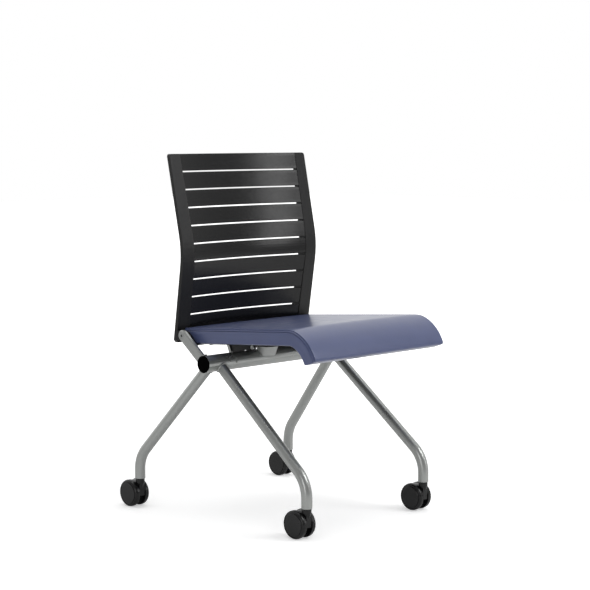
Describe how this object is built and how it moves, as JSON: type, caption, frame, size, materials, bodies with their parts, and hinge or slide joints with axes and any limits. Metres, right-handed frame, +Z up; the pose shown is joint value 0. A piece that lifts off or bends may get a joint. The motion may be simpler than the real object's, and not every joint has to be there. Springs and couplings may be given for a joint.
{
  "type": "nesting chair",
  "caption": "Armless nesting chair with a flip-up padded seat, a slatted back that tilts a little, crossed tubular legs and twin-wheel casters.",
  "frame": {"origin": "on the floor, on the middle plane, halfway along the chair's length from the seat's front edge to the rear wheels", "axes": "+Z up, -Y the way the sitter faces, +X the sitter's left"},
  "size_m": [0.549, 0.6137, 0.851],
  "materials": {
    "frame_paint": "satin silver-grey powder coat",
    "bracket_paint": "satin black paint",
    "bright_steel": "zinc-plated",
    "bush_plastic": "natural nylon",
    "caster_plastic": "satin black nylon",
    "cap_plastic": "matte black",
    "bumper_rubber": "matte black",
    "seat_cover": "smooth slate-blue coated upholstery",
    "satin_plastic": "satin black",
    "slat_plastic": "gloss black"
  },
  "bodies": {
    "frame": {"cross_beam": "frame_paint", "beam_cap_left": "cap_plastic", "beam_cap_right": "cap_plastic", "front_leg_left": "frame_paint", "front_leg_right": "frame_paint", "rear_leg_left": "frame_paint", "rear_leg_right": "frame_paint", "back_arm_left": "frame_paint", "back_arm_right": "frame_paint", "beam_saddle": "frame_paint", "rail_guide_left": "frame_paint", "rail_guide_right": "frame_paint", "rest_cup": "frame_paint", "rest_bumper": "bumper_rubber", "stem_sockets": "bush_plastic", "pivot_bolts": "bright_steel", "tilt_stop_pins": "bright_steel", "caster_stem_front_left": "bright_steel", "caster_stem_front_right": "bright_steel", "caster_stem_rear_left": "bright_steel", "caster_stem_rear_right": "bright_steel"},
    "seat": {"seat_cushion": "seat_cover", "seat_shell": "satin_plastic", "seat_rail_left": "satin_plastic", "seat_rail_right": "satin_plastic", "seat_bracket_left": "bracket_paint", "seat_bracket_right": "bracket_paint", "seat_screws": "bright_steel", "seat_bushes": "bush_plastic"},
    "back": {"back_upright_left": "satin_plastic", "back_upright_right": "satin_plastic", "back_bushes": "bush_plastic", "slat_1": "slat_plastic", "slat_2": "slat_plastic", "slat_3": "slat_plastic", "slat_4": "slat_plastic", "slat_5": "slat_plastic", "slat_6": "slat_plastic", "slat_7": "slat_plastic", "slat_8": "slat_plastic", "slat_9": "slat_plastic", "slat_10": "slat_plastic"},
    "caster_front_left": {"caster_housing_front_left": "caster_plastic", "caster_axle_front_left": "bright_steel"},
    "wheel_front_left_inner": {"wheel_front_left_inner": "caster_plastic"},
    "wheel_front_left_outer": {"wheel_front_left_outer": "caster_plastic"},
    "caster_front_right": {"caster_housing_front_right": "caster_plastic", "caster_axle_front_right": "bright_steel"},
    "wheel_front_right_inner": {"wheel_front_right_inner": "caster_plastic"},
    "wheel_front_right_outer": {"wheel_front_right_outer": "caster_plastic"},
    "caster_rear_left": {"caster_housing_rear_left": "caster_plastic", "caster_axle_rear_left": "bright_steel"},
    "wheel_rear_left_inner": {"wheel_rear_left_inner": "caster_plastic"},
    "wheel_rear_left_outer": {"wheel_rear_left_outer": "caster_plastic"},
    "caster_rear_right": {"caster_housing_rear_right": "caster_plastic", "caster_axle_rear_right": "bright_steel"},
    "wheel_rear_right_inner": {"wheel_rear_right_inner": "caster_plastic"},
    "wheel_rear_right_outer": {"wheel_rear_right_outer": "caster_plastic"}
  },
  "joints": [
    {"name": "back_tilt", "type": "hinge", "parent": "frame", "child": "back", "pos_m": [0, 0.11713, 0.4267], "axis": [-1, 0, 0], "range_deg": [0, 8], "stiffness_Nm_per_rad": 286, "springref_deg": -1.15},
    {"name": "seat_flip", "type": "hinge", "parent": "frame", "child": "seat", "pos_m": [0, 0.11713, 0.4267], "axis": [-1, 0, 0], "range_deg": [0, 78]},
    {"name": "swivel_front_left", "type": "hinge", "parent": "frame", "child": "caster_front_left", "pos_m": [0.1986, -0.26087, 0.0607], "axis": [0, 0, 1], "continuous": true},
    {"name": "roll_front_left_inner", "type": "hinge", "parent": "caster_front_left", "child": "wheel_front_left_inner", "pos_m": [0.1986, -0.23837, 0.0325], "axis": [1, 0, 0], "continuous": true},
    {"name": "roll_front_left_outer", "type": "hinge", "parent": "caster_front_left", "child": "wheel_front_left_outer", "pos_m": [0.1986, -0.23837, 0.0325], "axis": [1, 0, 0], "continuous": true},
    {"name": "swivel_front_right", "type": "hinge", "parent": "frame", "child": "caster_front_right", "pos_m": [-0.1986, -0.26087, 0.0607], "axis": [0, 0, 1], "continuous": true},
    {"name": "roll_front_right_inner", "type": "hinge", "parent": "caster_front_right", "child": "wheel_front_right_inner", "pos_m": [-0.1986, -0.23837, 0.0325], "axis": [1, 0, 0], "continuous": true},
    {"name": "roll_front_right_outer", "type": "hinge", "parent": "caster_front_right", "child": "wheel_front_right_outer", "pos_m": [-0.1986, -0.23837, 0.0325], "axis": [1, 0, 0], "continuous": true},
    {"name": "swivel_rear_left", "type": "hinge", "parent": "frame", "child": "caster_rear_left", "pos_m": [0.2522, 0.25063, 0.0607], "axis": [0, 0, 1], "continuous": true},
    {"name": "roll_rear_left_inner", "type": "hinge", "parent": "caster_rear_left", "child": "wheel_rear_left_inner", "pos_m": [0.2522, 0.27313, 0.0325], "axis": [1, 0, 0], "continuous": true},
    {"name": "roll_rear_left_outer", "type": "hinge", "parent": "caster_rear_left", "child": "wheel_rear_left_outer", "pos_m": [0.2522, 0.27313, 0.0325], "axis": [1, 0, 0], "continuous": true},
    {"name": "swivel_rear_right", "type": "hinge", "parent": "frame", "child": "caster_rear_right", "pos_m": [-0.2522, 0.25063, 0.0607], "axis": [0, 0, 1], "continuous": true},
    {"name": "roll_rear_right_inner", "type": "hinge", "parent": "caster_rear_right", "child": "wheel_rear_right_inner", "pos_m": [-0.2522, 0.27313, 0.0325], "axis": [1, 0, 0], "continuous": true},
    {"name": "roll_rear_right_outer", "type": "hinge", "parent": "caster_rear_right", "child": "wheel_rear_right_outer", "pos_m": [-0.2522, 0.27313, 0.0325], "axis": [1, 0, 0], "continuous": true}
  ]
}
